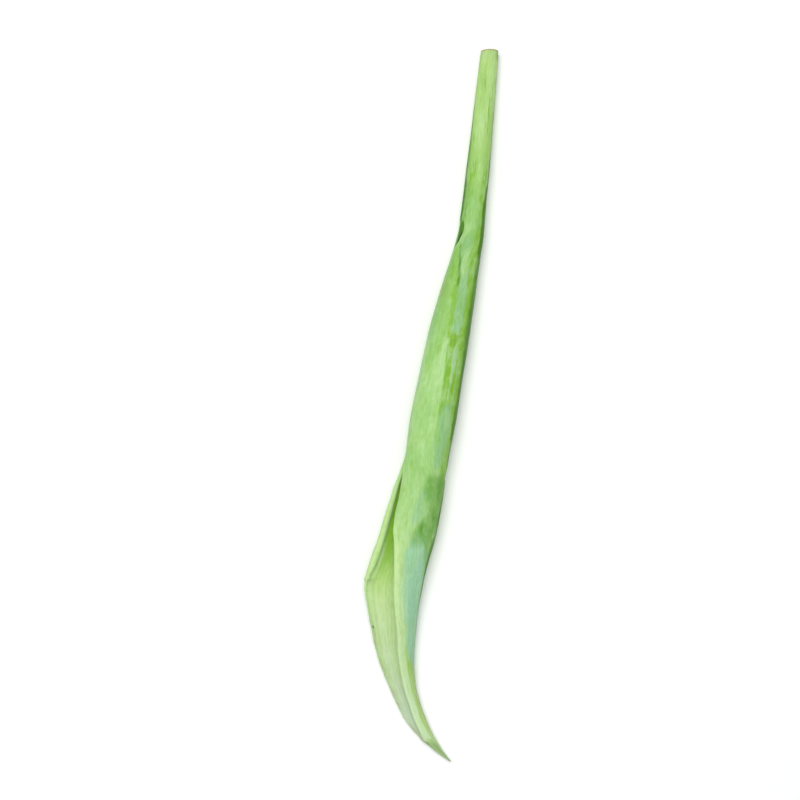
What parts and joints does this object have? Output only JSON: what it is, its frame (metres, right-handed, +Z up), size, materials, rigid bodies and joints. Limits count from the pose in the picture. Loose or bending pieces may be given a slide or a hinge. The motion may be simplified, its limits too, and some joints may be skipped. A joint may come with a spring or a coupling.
{
  "type": "taro leaf stalk",
  "caption": "Fresh cut taro leaf stalk lying down: a solid round stem opens into a hollow sheath with free margins and ends in a long slanting tail.",
  "frame": {"origin": "middle of the foot of the bounding box, on the surface that the stalk lies on", "axes": "+Y along the stalk towards its thin cut end, +Z up, +X away from the sheath's opening"},
  "size_m": [0.1359, 0.717, 0.0382],
  "materials": {
    "stalk_skin": "satin"
  },
  "bodies": {
    "root": {"leaf_stalk": "stalk_skin"}
  },
  "joints": []
}
